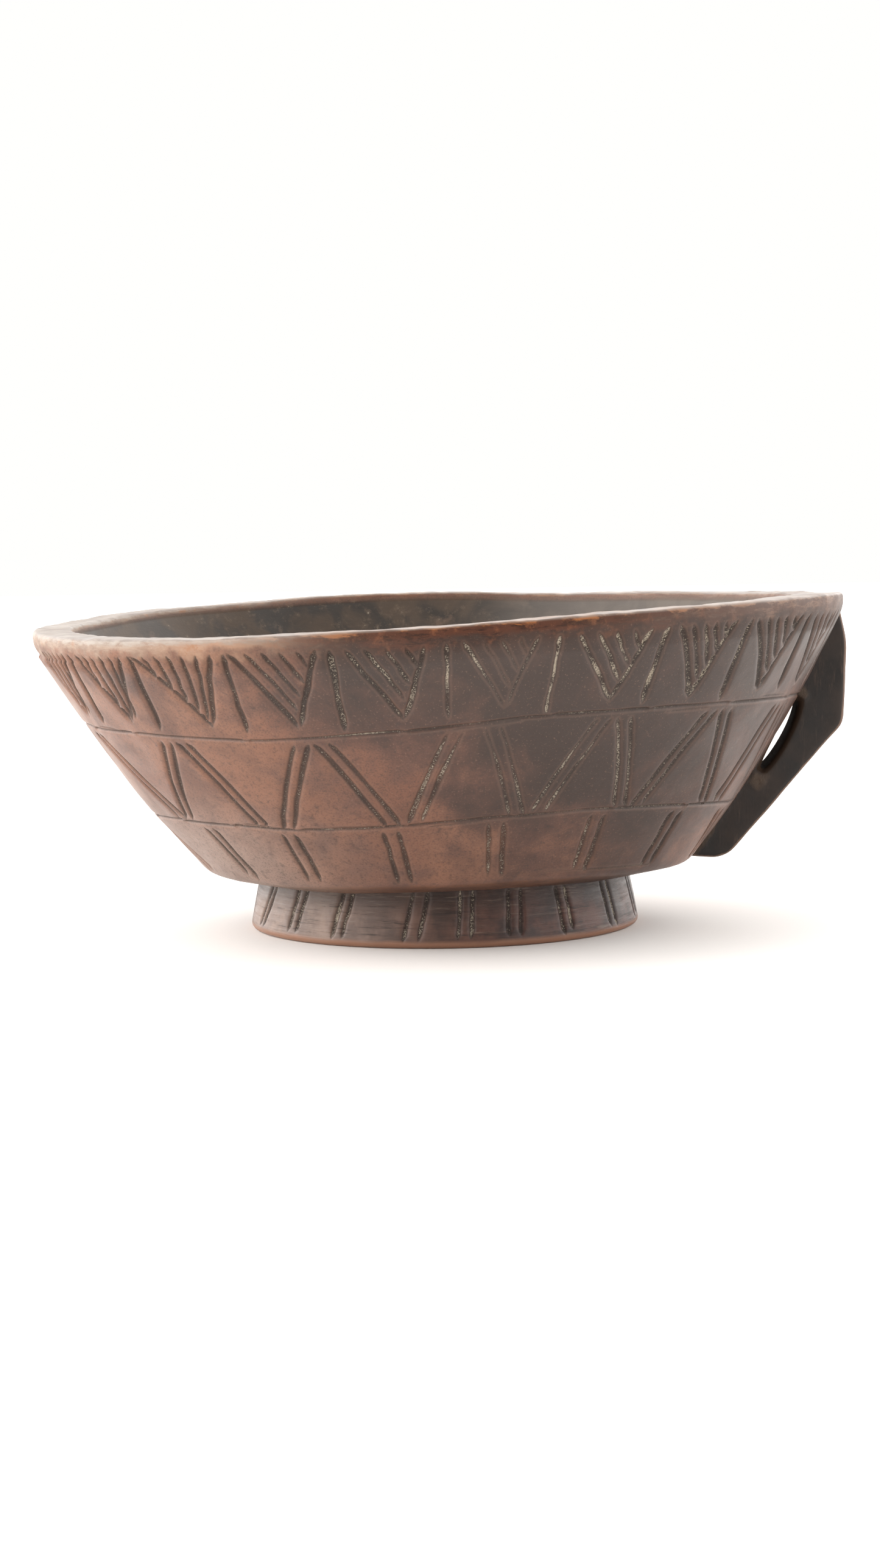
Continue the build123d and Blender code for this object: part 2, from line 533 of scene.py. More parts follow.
def build_vessel():
    """The vessel's closed mesh, and at each vertex its kind, lip share, whether it faces in, and height."""
    columns = ring_azimuths(VESSEL_COLUMNS)
    grid = Grid()
    notes = []
    for every, radius, height, kind in vessel_rows():
        azimuths = columns[::every] if every else np.zeros(1)
        grid.ring(place(azimuths, radius, height))
        note = (kind, lip_share(radius, height, kind), faces_in(radius, kind), height)
        notes += [note] * len(azimuths)
    return grid, *np.array(notes, float).T


def vessel_azimuth(points):
    """Azimuth round the vessel's axis of points in mm."""
    aside = points[:, 0] - VESSEL_SHIFT + points[:, 2] * math.sin(VESSEL_LEAN)
    return np.degrees(np.arctan2(aside, -points[:, 1]))


def smoke_on(azimuth, height, drift):
    """From 0 to 1: where the wall is smoked grey, in clouds that drift from their middles."""
    azimuth = azimuth + 9 * drift
    height = height + 11 * np.roll(drift, 7)
    smoke = 0.62 * bump_at(azimuth, 17, 17) * smooth(40, 72, height)
    smoke += 0.50 * smooth(-22, 22, azimuth) * smooth(120, 85, azimuth) * smooth(-20, 75, height)
    smoke += 0.38 * bump_at(azimuth, 44, 17)
    smoke += 0.60 * bump_at(azimuth, -13, 15) * smooth(60, 90, height)
    smoke += 0.40 * bump_at(azimuth, -46, 8) * smooth(88, 100, height) * smooth(110, 100, height)
    smoke += 0.30 * smooth(90, 108, height) * smooth(-35, -5, azimuth)
    smoke += 0.6 * bump_at(azimuth, 165, 45) + 0.5 * bump_at(azimuth, -125, 25)
    return np.clip(smoke, 0, 1)


def rubbed_away(azimuth, height, level):
    """From 0 to 1: how far handling has worn the cuts away, right of the front, but not the rings."""
    worn = 0.75 * bump_at(azimuth, 9, 9) * smooth(62, 80, height) * smooth(118, 104, height)
    worn += 0.45 * bump_at(azimuth, 20, 14) * smooth(40, 55, height) * smooth(90, 78, height)
    from_ring = np.minimum(np.abs(level - UPPER_RING), np.abs(level - LOWER_RING))
    return np.clip(worn, 0, 0.85) * smooth(1.5, 4.0, from_ring)


def carve_vessel():
    """The vessel: hewn a little uneven, then cut, with what its material reads at each vertex."""
    grid, kinds, edging, inside, level = build_vessel()
    piece = grid.build("carved_bowl")
    points = grid.points()
    outward = outward_normals(piece)
    azimuth, height = vessel_azimuth(points), points[:, 2]
    wall = kinds == WALL

    # Hewing: broad unevenness, and the small flats that the adze and knife left
    broad = noise_at(points, 42, 1)
    flats = noise_at(points, 13, 2)
    fine = noise_at(points, 4.5, 3)
    swell = 0.45 * broad + 0.18 * flats + 0.04 * fine
    swell += 1.1 * bump_at(azimuth, -90, 30) * smooth(30, 55, height) * wall
    swell = np.where(kinds == HOLLOW, 0.7 * broad + 0.45 * flats + 0.08 * fine, swell)
    swell += edging * (0.10 * flats + 0.14 * fine)

    # Knife work on the wall and on the lip's edge
    cuts = upper_band() + middle_band() + lower_band() + ring_lines() + [heel_line()]
    knife = KnifeWork([clear_of_handle(rows) for rows in cuts], lambda a, h: place(a, wall_radius(h), h))
    edge, depth, dust = knife.at(points, wall | (kinds == LIP) & (height < 117))
    worn = rubbed_away(azimuth, height, level)
    move_vertices(piece, points + outward * (swell - depth * (1 - worn))[:, None])
    shade_smooth(piece)

    paint(piece, "cut_edge", edge + 0.7 * worn)
    paint(piece, "dust", dust)
    paint(piece, "worn", np.clip(0.85 * bump_at(azimuth, 18, 30) + worn, 0, 1))
    paint(piece, "hollow", inside * (1 - edging))
    # Painted light: the hollow paler and greyer on its right, a sheen where the light from the left falls on
    # the far wall; half as much at its far left
    right, left = smooth(0, 62, points[:, 0] + 12 * broad), smooth(-88, -122, points[:, 0] + 8 * broad)
    paint(piece, "painted_sheen_and_grey", right + 0.5 * left)
    # Painted light: the lower left wall made paler, standing in for light bounced up from the bright floor
    # on the left
    paint(piece, "painted_bounce_light", 0.8 * bump_at(azimuth, -56, 26) * smooth(62, 34, height) * wall)
    paint(piece, "lip", edging)
    paint(piece, "smoke", smoke_on(azimuth, height, noise_at(points, 26, 4)) * (1 - inside))
    paint(piece, "pale_lip", smooth(-10, -26, azimuth) * smooth(-175, -120, azimuth))
    # Painted highlight: a tan patch on the lip's front-left, which faces away from the light on the left
    paint(piece, "painted_lip_highlight", 0.6 * bump_at(azimuth, -29, 10))
    paint(piece, "burnt_lip", bump_at(azimuth, 6, 30) + 0.5 * bump_at(azimuth, 190, 35))
    return piece


# ---------------------------------------------------------------- foot

# Double cuts down the foot at the front: (azimuth at the top, azimuth at the ground)
FRONT_FOOT_CUTS = [
    (-63.0, -69.5), (-47.4, -50.8), (-29.8, -32.8), (-7.0, -10.0), (6.4, 5.4), (21.2, 20.2), (36.8, 38.2),
    (56.8, 58.6), (77.0, 80.0),
]
HIDDEN_FOOT_CUTS = 11
FOOT_DEGREE_WIDTH = 1.25
# How far the foot runs up into the vessel's wood, and how far its underside is hollowed
FOOT_ROOT = 3.5
FOOT_DISH = 0.8


def foot_radius(height):
    """Radius of the foot's flared side at a height."""
    return FOOT_RADIUS + (FOOT_TOP_RADIUS - FOOT_RADIUS) * height / FOOT_HEIGHT


def foot_place(azimuth, radius, height):
    """World point in mm of a point of the foot, which stands upright."""
    turn = np.radians(azimuth)
    return np.stack(np.broadcast_arrays(radius * np.sin(turn), -radius * np.cos(turn), height), axis=-1)


def build_foot():
    """The foot's closed mesh, and whether each vertex is on its side."""
    columns = ring_azimuths(FOOT_COLUMNS)
    top = FOOT_HEIGHT + FOOT_ROOT
    section = rounded(
        [(FOOT_RADIUS - 12, 0.5), (FOOT_RADIUS - 8, 0), (FOOT_RADIUS, 0), (foot_radius(top), top),
         (FOOT_TOP_RADIUS - 8, top)],
        [6, 1.8, 1.0], 0.8)
    rows = [(0, 0.0, FOOT_DISH, False), (4, 30.0, FOOT_DISH, False)]
    rows += [(1, radius, height, height >= 0.4 or radius >= FOOT_RADIUS - 1) for radius, height in section]
    rows += [(4, 30.0, top, False), (0, 0.0, top, False)]
    grid = Grid()
    on_side = []
    for every, radius, height, side in rows:
        azimuths = columns[::every] if every else np.zeros(1)
        grid.ring(foot_place(azimuths, radius, height))
        on_side += [side] * len(azimuths)
    return grid, np.array(on_side)


def foot_cuts():
    """Pairs of short cuts down the foot, all the way round."""
    lines = list(FRONT_FOOT_CUTS)
    for k in range(HIDDEN_FOOT_CUTS):
        upper = 96 + k * 17.6 + random.uniform(-1.5, 1.5)
        lines.append((upper, upper + random.uniform(-3, 3)))
    cuts = []
    for upper, lower in lines:
        gap = random.uniform(3.2, 4.4)
        for side in (-0.5, 0.5):
            start = (upper + side * gap, FOOT_HEIGHT + 1)
            end = (lower + side * gap, random.uniform(2.6, 4.6))
            dust = random.uniform(0.4, 1.1)
            cuts.append(stroke(start, end, 0.95, 0.9, dust, degree_width=FOOT_DEGREE_WIDTH))
    return cuts


def carve_foot():
    """The flared foot, with its double cuts."""
    grid, on_side = build_foot()
    piece = grid.build("bowl_foot")
    points = grid.points()
    outward = outward_normals(piece)
    knife = KnifeWork(foot_cuts(), lambda a, h: foot_place(a, foot_radius(h), h))
    edge, depth, dust = knife.at(points, on_side)
    swell = 0.3 * noise_at(points, 24, 5) + 0.12 * noise_at(points, 7, 6)
    swell = np.where(points[:, 2] < 0.6, 0, swell)
    move_vertices(piece, points + outward * (swell - depth)[:, None])
    shade_smooth(piece)
    paint(piece, "cut_edge", edge)
    paint(piece, "dust", dust)
    azimuth = np.degrees(np.arctan2(points[:, 0], -points[:, 1]))
    # Painted light: the foot's left, which faces the light, made paler
    paint(piece, "painted_light", 0.9 * bump_at(azimuth, -50, 40))
    return piece


# ---------------------------------------------------------------- handle

# Handle in side view: corners of its outline as (x, z), and the rounding of all but the first and last
HANDLE_OUTLINE = [
    (142, 119.5), (147.2, 119.5), (150.6, 104), (148.7, 73.2), (104.8, 23.4), (90, 24.4), (86, 32),
]
HANDLE_ROUNDING = [4.0, 30.0, 8.0, 11.0, 3.0]
HANDLE_HALF = 11.0
HANDLE_EDGE = 1.8
# Slot: the line of its inner edge, and how far it bellies in and out of that line
SLOT_LOW = Vector((118.1, 56.7))
SLOT_HIGH = Vector((131.9, 82.8))
SLOT_MIDDLE = (SLOT_LOW + SLOT_HIGH) / 2
SLOT_INWARD = 1.0
SLOT_OUTWARD = 3.2
# Patches at the slot's two ends where a knife tore the wood: (middle, reach)
TORN_SPOTS = [(SLOT_LOW + Vector((-1, -4)), 6), (SLOT_HIGH + Vector((1, 2)), 5)]


def slot_outline():
    """The slot beside the wall: nearly straight on the wall's side, bowed on the other."""
    half = (SLOT_HIGH - SLOT_LOW) / 2
    out = Vector((half.y, -half.x)).normalized()
    loop = []
    for turn in np.radians(np.arange(0, 360, 9)):
        belly = SLOT_OUTWARD if math.sin(turn) > 0 else SLOT_INWARD
        loop.append(SLOT_MIDDLE + half * math.cos(turn) + out * belly * math.sin(turn))
    return loop


def plank(name, loops, half, edge):
    """A flat mesh between y = -half and half, in metres, from loops of (x, z) in mm, its edges rounded."""
    data = bpy.data.curves.new(name, "CURVE")
    data.dimensions = "2D"
    data.fill_mode = "BOTH"
    for loop in loops:
        spline = data.splines.new("POLY")
        spline.points.add(len(loop) - 1)
        for point, (x, z) in zip(spline.points, loop):
            point.co = (x * MM, z * MM, 0, 1)
        spline.use_cyclic_u = True
    data.extrude = (half - edge) * MM
    data.bevel_depth = edge * MM
    data.bevel_resolution = 3
    data.offset = -edge * MM
    curve = bpy.data.objects.new(name, data)
    bpy.context.scene.collection.objects.link(curve)
    bpy.context.view_layer.update()
    mesh = bpy.data.meshes.new_from_object(curve.evaluated_get(bpy.context.evaluated_depsgraph_get()))
    bpy.data.objects.remove(curve)
    mesh.transform(Matrix.Rotation(math.radians(90), 4, "X"))
    return mesh


def evened(piece, voxel, relax):
    """Remeshes a piece to an even closed mesh, and relaxes the steps that leaves."""
    remesh = piece.modifiers.new("even", "REMESH")
    remesh.mode = "VOXEL"
    remesh.voxel_size = voxel * MM
    smoother = piece.modifiers.new("relax", "SMOOTH")
    smoother.factor = 0.5
    smoother.iterations = relax
    bpy.context.view_layer.update()
    mesh = bpy.data.meshes.new_from_object(piece.evaluated_get(bpy.context.evaluated_depsgraph_get()))
    piece.modifiers.clear()
    piece.data = mesh


def beyond_wall(points):
    """How far points in mm stand out of the wall on the handle's side, along X."""
    ends = [place(np.array(HANDLE_AZIMUTH), wall_radius(h), h) for h in (HEEL_HEIGHT, BRINK_HEIGHT)]
    return points[:, 0] - np.interp(points[:, 2], [end[2] for end in ends], [end[0] for end in ends])


def torn_patches(points):
    """From 0 to 1: where the handle's wood is torn, along the wall's foot and at the slot's ends."""
    torn = smooth(4.2, 0.8, beyond_wall(points) + 1.2 * noise_at(points, 4, 15))
    torn *= 0.9 * smooth(58, 50, points[:, 2])
    ragged = 1.5 * noise_at(points, 3, 14)
    for spot, reach in TORN_SPOTS:
        away = np.hypot(points[:, 0] - spot.x, points[:, 2] - spot.y)
        torn = np.maximum(torn, smooth(reach, 0.1 * reach, away + ragged))
    return torn


def slot_wall(points, outward):
    """From 0 to 1: whether a point is on the wall of the slot, which faces its middle."""
    aside, above = SLOT_MIDDLE.x - points[:, 0], SLOT_MIDDLE.y - points[:, 2]
    facing = outward[:, 0] * aside + outward[:, 2] * above
    return smooth(0.0, 2.0, facing) * smooth(17, 15, np.hypot(aside, above))


def carve_handle():
    """The lug: a plank with rounded edges, pierced beside the wall."""
    side = rounded(HANDLE_OUTLINE, HANDLE_ROUNDING, 1.0)
    mesh = plank("bowl_handle", (side, slot_outline()), HANDLE_HALF, HANDLE_EDGE)
    piece = bpy.data.objects.new("bowl_handle", mesh)
    bpy.context.scene.collection.objects.link(piece)
    evened(piece, 0.6, 6)
    points = vertex_vectors(piece, "co") / MM
    outward = outward_normals(piece)

    swell = 0.30 * noise_at(points, 22, 8) + 0.16 * noise_at(points * (1, 1, 0.35), 7, 9)
    splinters = noise_at(points * (1, 1, 0.4), 1.6, 12)
    torn = torn_patches(points)
    across = np.abs(points[:, 1]) / HANDLE_HALF
    around = np.hypot(outward[:, 0], outward[:, 2])
    move_vertices(piece, points + outward * (swell + 0.35 * torn * splinters)[:, None])
    shade_smooth(piece)
    # Painted light: a brown light along the handle's rounded edges, where they catch the light
    paint(piece, "lit_edge", smooth(0.55, 0.92, across) * smooth(0.25, 0.75, around))
    paint(piece, "torn", torn)
    # Painted shade: the slot's wall, a recess, darkened
    paint(piece, "shaded_slot_wall", slot_wall(points, outward))
    return piece


# ---------------------------------------------------------------- materials

# Refraction of oiled wood, and the pale dust that lies in the cuts
WOOD_IOR = 1.46
DUST = (0.34, 0.29, 0.225)


class Tree:
    """A short way to write nodes."""

    def __init__(self, tree):
        self.tree = tree

    def feed(self, socket, value):
        """Links a node's output to a socket, or sets the socket."""
        if isinstance(value, bpy.types.NodeSocket):
            self.tree.links.new(value, socket)
        elif isinstance(value, tuple) and len(value) == 3 and socket.type == "RGBA":
            socket.default_value = (*value, 1)
        else:
            socket.default_value = value

    def add(self, kind, inputs, output, **settings):
        """Adds a node of a kind, feeds its inputs by name or number, and gives one of its outputs."""
        node = self.tree.nodes.new("ShaderNode" + kind)
        for name, value in settings.items():
            setattr(node, name, value)
        for name, value in inputs.items():
            self.feed(node.inputs[name], value)
        return node.outputs[output]

    def span(self, value, low, high, start=0.0, end=1.0):
        """Maps low..high to start..end, with soft ends."""
        inputs = {"Value": value, "From Min": low, "From Max": high, "To Min": start, "To Max": end}
        return self.add("MapRange", inputs, "Result", interpolation_type="SMOOTHSTEP")

    def calc(self, kind, first, second, clamp=False):
        """A Math node of a kind, such as ADD."""
        return self.add("Math", {0: first, 1: second}, "Value", operation=kind, use_clamp=clamp)

    def plus(self, first, second):
        """A sum."""
        return self.calc("ADD", first, second)

    def times(self, first, second):
        """A product."""
        return self.calc("MULTIPLY", first, second)

    def blend(self, share, first, second):
        """A colour between two."""
        return self.add("Mix", {"Factor": share, "A": first, "B": second}, "Result", data_type="RGBA")


class Finish(Tree):
    """The nodes of a material."""

    def __init__(self, name):
        self.material = bpy.data.materials.new(name)
        self.material.use_nodes = True
        super().__init__(self.material.node_tree)
        self.shader = self.tree.nodes["Principled BSDF"]
        self.where = self.add("TexCoord", {}, "Object")

    def painted(self, name):
        """The number that a carve function painted on each vertex under a name."""
        return self.add("Attribute", {}, "Fac", attribute_name=name)

    def grain(self, scale, detail=3.0, stretch=(1, 1, 1), rough=0.5, twist=0.0):
        """Noise from 0 to 1, with about scale lumps to the metre."""
        where = self.add("Mapping", {"Vector": self.where, "Scale": stretch}, "Vector")
        inputs = {"Vector": where, "Scale": scale, "Detail": detail, "Roughness": rough, "Distortion": twist}
        return self.add("TexNoise", inputs, "Fac")

    def around(self, noise_value, gain):
        """Noise moved to lie round zero, and made stronger or weaker."""
        return self.times(self.calc("SUBTRACT", noise_value, 0.5), gain)

    def give(self, name, value):
        """Feeds one of the shader's own sockets."""
        self.feed(self.shader.inputs[name], value)

    def relief(self, *layers):
        """Tilts the shader's normal by layers of (height, strength, distance in mm)."""
        normal = {}
        for height, strength, distance in layers:
            inputs = {"Height": height, "Strength": strength, "Distance": distance * MM}
            normal = {"Normal": self.add("Bump", inputs | normal, "Normal")}
        self.give("Normal", normal["Normal"])


def cut_masks(t, ragged):
    """Distance outside a cut's edge, where the wood is cut away, and where dust lies in the cut."""
    chatter = t.around(t.grain(520, 4, rough=0.6), ragged)
    edge = t.plus(t.painted("cut_edge"), chatter)
    cut = t.span(edge, 0.25, -0.55)
    crumbs = t.plus(t.grain(1900, 3, rough=0.7), t.times(t.painted("dust"), 0.22))
    filled = t.times(t.span(crumbs, 0.60, 0.76, 0, 0.95), t.span(edge, -0.15, -0.65))
    return edge, cut, filled


def lip_wood(t, wall, streak):
    """The lip's colours: pale and worn on the left with a painted tan highlight at its front-left, scorched
    like bark at the front, plain elsewhere.
    """
    crest = t.plus(t.painted("lip"), t.around(streak, 0.8))
    patch = t.grain(150, 5, rough=0.68)
    bark = t.blend(0.65, wall, (0.085, 0.028, 0.014))
    bark = t.blend(t.span(streak, 0.45, 0.55, 0, 0.8), bark, (0.020, 0.009, 0.006))
    bark = t.blend(t.span(patch, 0.50, 0.66, 0, 0.7), bark, (0.165, 0.060, 0.027))
    bark = t.blend(t.span(crest, 0.92, 1.04), bark, (0.250, 0.090, 0.030))
    worn = t.blend(t.span(streak, 0.36, 0.66), (0.195, 0.128, 0.092), (0.300, 0.215, 0.158))
    # Painted highlight: tan on the lip's front-left
    worn = t.blend(t.painted("painted_lip_highlight"), worn, (0.420, 0.225, 0.130))
    worn = t.blend(t.span(patch, 0.54, 0.64, 0, 0.6), worn, (0.290, 0.130, 0.058))
    worn = t.blend(t.span(crest, 0.74, 1.04, 0, 0.9), worn, (0.300, 0.270, 0.235))
    plain = t.blend(0.5, wall, (0.110, 0.058, 0.040))
    plain = t.blend(t.span(streak, 0.46, 0.66, 0, 0.7), plain, (0.185, 0.110, 0.075))
    plain = t.blend(t.span(crest, 0.90, 1.04, 0, 0.8), plain, (0.190, 0.115, 0.075))
    wood = t.blend(t.painted("pale_lip"), plain, worn)
    wood = t.blend(t.painted("burnt_lip"), wood, bark)
    top = t.blend(t.span(streak, 0.42, 0.60), (0.098, 0.064, 0.045), (0.165, 0.118, 0.086))
    return t.blend(t.span(t.painted("lip"), 0.95, 1.0, 0, 0.78), wood, top)


def hollow_wood(t, blotch, cloud):
    """Inside: dark and mottled with food and smoke, paler and greyer on the right with a painted sheen,
    where the light from the left falls on the far wall.
    """
    wood = t.blend(t.span(blotch, 0.42, 0.60), (0.016, 0.010, 0.006), (0.048, 0.030, 0.018))
    flecks = t.grain(210, 6, rough=0.75)
    wood = t.blend(t.span(flecks, 0.52, 0.68, 0, 0.60), wood, (0.090, 0.060, 0.038))
    wood = t.blend(t.span(flecks, 0.66, 0.72, 0, 0.80), wood, (0.30, 0.26, 0.20))
    wood = t.blend(t.span(cloud, 0.60, 0.72, 0, 0.5), wood, (0.105, 0.062, 0.040))
    grey = t.blend(t.span(blotch, 0.36, 0.66), (0.088, 0.072, 0.061), (0.128, 0.106, 0.089))
    # Painted sheen: paler grey on the lit right of the hollow
    return t.blend(t.painted("painted_sheen_and_grey"), wood, grey)


def lip_roughness(t):
    """What the lip adds to the roughness: its top is polished, and its side is dry."""
    top_to_side = t.span(t.painted("lip"), 1.0, 0.95, -0.08, 0.18)
    side_to_wall = t.span(t.painted("lip"), 0.1, 0.0, 0.0, -0.18)
    return t.plus(top_to_side, side_to_wall)


def vessel_wood():
    """Oiled red-brown wood that is smoked in clouds, with its cuts, its lip and its hollow."""
    t = Finish("oiled_red_wood")
    edge, cut, filled = cut_masks(t, 0.4)
    broad = t.grain(13, 3, twist=0.4)
    blotch = t.grain(48, 4, rough=0.55, twist=0.6)
    cloud = t.grain(95, 5, rough=0.62)
    streak = t.grain(230, 5, stretch=(0.4, 0.4, 1.6), rough=0.72, twist=0.4)
    speck = t.grain(520, 3)
    pores = t.grain(1500, 3)

    wood = t.blend(t.span(broad, 0.35, 0.65), (0.152, 0.065, 0.039), (0.208, 0.096, 0.057))
    wood = t.blend(t.span(blotch, 0.44, 0.66, 0, 0.60), wood, (0.088, 0.047, 0.037))
    wood = t.blend(t.span(cloud, 0.54, 0.72, 0, 0.35), wood, (0.200, 0.086, 0.047))
    # Painted light: paler grey-tan on the lower left wall, for light bounced up from the floor
    wood = t.blend(t.painted("painted_bounce_light"), wood, (0.300, 0.215, 0.175))
    smoke = t.plus(t.painted("smoke"), t.around(t.grain(60, 5, rough=0.6, twist=0.5), 1.4))
    wood = t.blend(t.span(smoke, -0.05, 0.60, 0, 0.80), wood, (0.070, 0.034, 0.025))
    wood = t.blend(t.span(smoke, 0.25, 1.05, 0, 0.87), wood, (0.029, 0.019, 0.015))
    wood = t.blend(t.span(speck, 0.52, 0.76, 0, 0.45), wood, (0.036, 0.024, 0.020))
    wood = t.blend(t.span(pores, 0.50, 0.68, 0, 0.42), wood, (0.040, 0.026, 0.021))
    wood = t.blend(t.span(pores, 0.40, 0.28, 0, 0.30), wood, (0.240, 0.140, 0.095))
    # A lighter band along the cuts' edges: worn edges, and a painted highlight on their bevels
    edge_wear_and_highlight = t.times(t.span(edge, 1.1, 0.35), t.calc("SUBTRACT", 1.0, cut))
    wood = t.blend(t.times(edge_wear_and_highlight, 0.16), wood, (0.190, 0.105, 0.070))

    frayed = t.plus(t.painted("lip"), t.around(cloud, 1.1))
    wood = t.blend(t.span(frayed, 0.34, 0.70), wood, lip_wood(t, wood, streak))
    wood = t.blend(t.painted("hollow"), wood, hollow_wood(t, blotch, cloud))

    shade = t.times(cut, t.span(t.painted("worn"), 0.1, 1.0, 0.76, 0.45))
    wood = t.blend(shade, wood, (0.026, 0.019, 0.015))
    t.give("Base Color", t.blend(filled, wood, DUST))

    rough = t.span(blotch, 0.3, 0.7, 0.36, 0.48)
    rough = t.plus(rough, t.times(cut, 0.25))
    rough = t.plus(rough, t.times(t.painted("hollow"), 0.28))
    rough = t.plus(rough, lip_roughness(t))
    rough = t.calc("ADD", rough, t.times(filled, 0.25), clamp=True)
    t.give("Roughness", rough)
    t.give("IOR", WOOD_IOR)
    charred = t.times(t.span(t.painted("lip"), 1.0, 0.95), t.painted("burnt_lip"))
    charred = t.times(charred, t.painted("lip"))
    t.give("Specular IOR Level", t.span(charred, 0.0, 0.8, 0.5, 0.15))

    tops = t.plus(t.span(edge, -0.9, 0.4), t.times(filled, 0.5))
    grains = (streak, 0.20, 0.5), (cloud, 0.22, 0.5), (speck, 0.28, 0.12), (pores, 0.25, 0.05)
    t.relief((tops, 0.5, 0.35), *grains)
    return t.material


def foot_wood():
    """Darker wood with a level grain: painted light on its left, painted shade at its top under the heel,
    worn red along the ground.
    """
    t = Finish("dark_foot_wood")
    edge, cut, filled = cut_masks(t, 0.6)
    blotch = t.grain(60, 4, rough=0.6)
    scratch = t.grain(900, 5, stretch=(0.06, 0.06, 1.0), rough=0.75)
    fibre = t.grain(420, 5, stretch=(0.12, 0.12, 1.6), rough=0.72)
    fleck = t.grain(620, 3, stretch=(0.10, 0.10, 1.3), rough=0.6)
    pores = t.grain(2300, 2)
    # Metres above the ground
    height = t.add("SeparateXYZ", {0: t.where}, "Z")
    ground_strip = t.span(t.plus(height, t.times(blotch, 0.0026)), 0.0046, 0.0028)
    # Painted shadow: darker at the top of the foot, under the vessel's heel
    painted_heel_shadow = t.span(t.plus(height, t.times(blotch, 0.012)), 0.017, 0.024)
    more_flecks = t.span(height, 0.011, 0.019, 0.0, 0.07)

    wood = t.blend(t.span(blotch, 0.38, 0.62), (0.022, 0.008, 0.006), (0.082, 0.030, 0.020))
    # Painted light: paler colours on the foot's lit left
    painted_light = t.blend(t.span(blotch, 0.4, 0.65), (0.145, 0.092, 0.069), (0.250, 0.172, 0.130))
    wood = t.blend(t.painted("painted_light"), wood, painted_light)
    wood = t.blend(t.span(scratch, 0.52, 0.70, 0, 0.32), wood, (0.140, 0.088, 0.062))
    wood = t.blend(t.times(painted_heel_shadow, 0.6), wood, (0.024, 0.013, 0.010))
    wood = t.blend(t.span(fibre, 0.54, 0.66, 0, 0.75), wood, (0.020, 0.011, 0.008))
    flecks = t.span(t.plus(fleck, more_flecks), 0.61, 0.74, 0, 0.40)
    wood = t.blend(flecks, wood, (0.200, 0.150, 0.115))
    wood = t.blend(t.times(ground_strip, 0.8), wood, (0.270, 0.132, 0.078))
    # Painted shade: the cuts darkened
    wood = t.blend(t.times(cut, 0.78), wood, (0.020, 0.014, 0.011))
    t.give("Base Color", t.blend(filled, wood, DUST))

    rough = t.span(fibre, 0.35, 0.65, 0.36, 0.50)
    rough = t.calc("ADD", rough, t.times(cut, 0.3), clamp=True)
    t.give("Roughness", rough)
    t.give("IOR", WOOD_IOR)
    grains = (scratch, 0.45, 0.2), (fibre, 0.45, 0.3), (pores, 0.25, 0.05)
    t.relief((t.span(edge, -0.8, 0.4), 0.5, 0.3), *grains)
    return t.material


def handle_wood():
    """Nearly black smoked wood with an upright grain, a painted brown light along its edges, painted shade
    in its slot, torn where the knife dug in.
    """
    t = Finish("smoked_handle_wood")
    blotch = t.grain(55, 4, rough=0.6)
    fibre = t.grain(420, 5, stretch=(1.0, 1.0, 0.12), rough=0.72)
    splinter = t.grain(1100, 5, stretch=(1.0, 1.0, 0.5), rough=0.8)
    pores = t.grain(2300, 2)

    wood = t.blend(t.span(blotch, 0.35, 0.65), (0.009, 0.006, 0.005), (0.025, 0.016, 0.012))
    wood = t.blend(t.span(fibre, 0.54, 0.70, 0, 0.50), wood, (0.066, 0.040, 0.028))
    bare = t.plus(t.painted("torn"), t.around(blotch, 0.8))
    wood = t.blend(t.span(bare, 0.30, 1.00, 0, 0.45), wood, (0.13, 0.085, 0.055))
    # Painted light: brown along the handle's edges
    painted_light = t.plus(t.painted("lit_edge"), t.around(fibre, 1.6))
    wood = t.blend(t.span(painted_light, 0.35, 0.95, 0, 0.7), wood, (0.150, 0.084, 0.054))
    # Painted shade: the slot's wall darkened
    wood = t.blend(t.painted("shaded_slot_wall"), wood, (0.030, 0.019, 0.013))
    t.give("Base Color", wood)

    rough = t.calc("MAXIMUM", t.span(blotch, 0.3, 0.7, 0.40, 0.52), t.painted("shaded_slot_wall"))
    t.give("Roughness", rough)
    t.give("Specular IOR Level", t.span(t.painted("shaded_slot_wall"), 0, 1, 0.38, 0.1))
    t.give("IOR", WOOD_IOR)
    splinters = t.times(splinter, t.painted("torn"))
    t.relief((fibre, 0.35, 0.25), (splinters, 0.8, 0.6), (pores, 0.2, 0.05))
    return t.material


def floor_paper():
    """Matt white paper."""
    t = Finish("white_paper")
    tooth = t.grain(900, 2)
    t.give("Base Color", t.blend(tooth, (0.80, 0.785, 0.770), (0.83, 0.815, 0.800)))
    t.give("Roughness", 0.9)
    t.give("Specular IOR Level", 0.2)
    t.relief((tooth, 0.1, 0.1))
    return t.material


# ---------------------------------------------------------------- stage

# Metres from the middle of the paper floor to its edges
FLOOR_REACH = 4.0
# Light of the white room: the same from every side, then more from some: (direction, the cosine at
# which its glow starts, strength)
ROOM_LIGHT = 0.36
ROOM_GLOWS = [
    ((-1.0, 0.10, 0.15), 0.10, 3.3),
    ((1.0, 0.30, 0.12), 0.05, 2.3),
    ((0.0, 1.0, 0.35), 0.0, 0.7),
    ((0.0, 0.1, 1.0), 0.0, 0.75),
]
ROOM_COLOUR = (1.0, 0.975, 0.95)
BACKDROP_COLOUR = (1.0, 1.0, 0.985)
WINDOW_POWER = 5

# Camera: lens in mm on a 36 mm wide sensor, place in metres, and degrees that it tips down and rolls
CAMERA_LENS = 73.86
CAMERA_AT = (-0.0011, -1.2, 0.1622)
CAMERA_TIP = 5.244
CAMERA_ROLL = -0.919


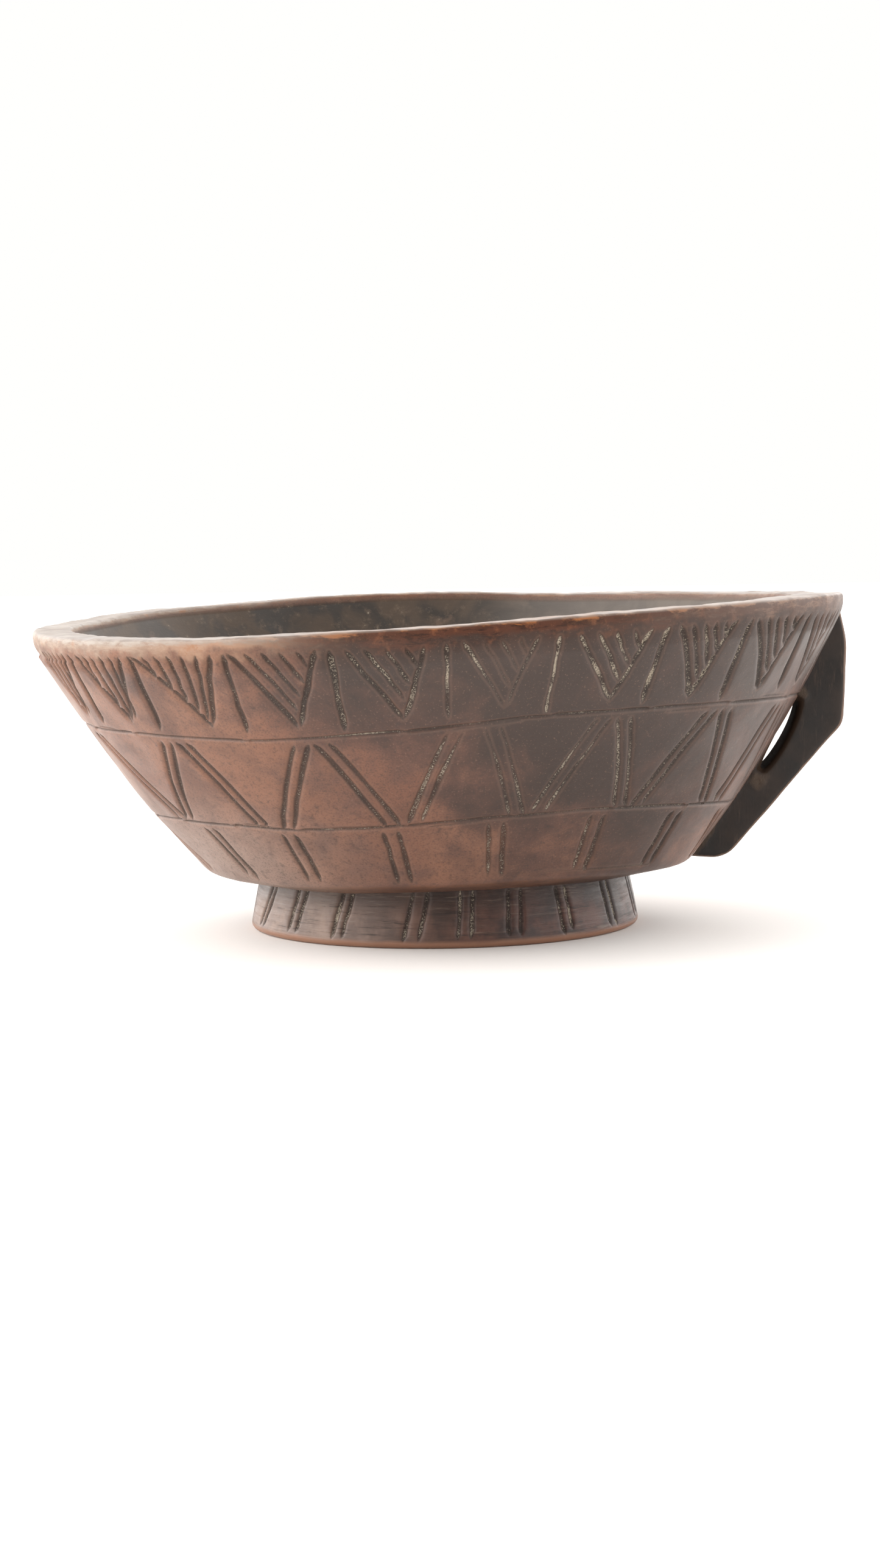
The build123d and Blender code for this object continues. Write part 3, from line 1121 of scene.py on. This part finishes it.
def soft_light(name, at, to, size, power, colour):
    """A rectangular light at a place in metres, aimed at another."""
    data = bpy.data.lights.new(name, "AREA")
    data.shape = "RECTANGLE"
    data.size, data.size_y = size
    data.energy = power
    data.color = colour
    light = bpy.data.objects.new(name, data)
    light.location = at
    light.rotation_euler = (Vector(to) - Vector(at)).to_track_quat("-Z", "Y").to_euler()
    bpy.context.scene.collection.objects.link(light)


def build_floor():
    """The paper that the bowl stands on."""
    mesh = bpy.data.meshes.new("paper_floor")
    corners = [(x * FLOOR_REACH, y * FLOOR_REACH, 0) for x, y in ((-1, -1), (1, -1), (1, 1), (-1, 1))]
    mesh.from_pydata(corners, [], [(0, 1, 2, 3)])
    floor = bpy.data.objects.new("paper_floor", mesh)
    floor.data.materials.append(floor_paper())
    bpy.context.scene.collection.objects.link(floor)


def room_light(t):
    """How strong the room's light is from each direction, as a node's output."""
    way = t.add("TexCoord", {}, "Generated")
    total = ROOM_LIGHT
    for direction, start, strength in ROOM_GLOWS:
        aim = {0: way, 1: Vector(direction).normalized()}
        facing = t.add("VectorMath", aim, "Value", operation="DOT_PRODUCT")
        total = t.plus(t.span(facing, start, 1.0, 0.0, strength), total)
    return total


def build_world():
    """A white room that is dim in front of the bowl, and plain white to the camera."""
    world = bpy.data.worlds.new("white_room")
    bpy.context.scene.world = world
    world.use_nodes = True
    t = Tree(world.node_tree)
    light = t.add("Background", {"Color": ROOM_COLOUR, "Strength": room_light(t)}, "Background")
    seen = t.add("Background", {"Color": BACKDROP_COLOUR}, "Background")
    to_camera = t.add("LightPath", {}, "Is Camera Ray")
    room = t.add("MixShader", {0: to_camera, 1: light, 2: seen}, "Shader")
    t.feed(t.tree.nodes["World Output"].inputs["Surface"], room)


def build_camera():
    """The photographed view: a little above the rim, and tipped down."""
    data = bpy.data.cameras.new("front")
    data.sensor_width = 36.0
    data.lens = CAMERA_LENS
    data.clip_start = 0.01
    camera = bpy.data.objects.new("front", data)
    camera.matrix_world = (
        Matrix.Translation(CAMERA_AT)
        @ Matrix.Rotation(math.radians(90 - CAMERA_TIP), 4, "X")
        @ Matrix.Rotation(math.radians(CAMERA_ROLL), 4, "Z")
    )
    bpy.context.scene.collection.objects.link(camera)
    bpy.context.scene.camera = camera


def finish_piece(piece, material, node):
    """Gives a piece its one material, and puts it in the place of its CAD node."""
    piece.data.materials.clear()
    piece.data.materials.append(material)
    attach(piece, "root")
    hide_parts(node)


build_camera()
build_floor()
build_world()
soft_light("window_left", (-1.3, 0.1, 0.45), (0, 0, 0.05), (1.0, 0.8), WINDOW_POWER, (1.0, 0.985, 0.965))
finish_piece(carve_vessel(), vessel_wood(), "vessel")
finish_piece(carve_foot(), foot_wood(), "foot")
finish_piece(carve_handle(), handle_wood(), "handle")
bpy.context.scene.view_settings.view_transform = "Standard"
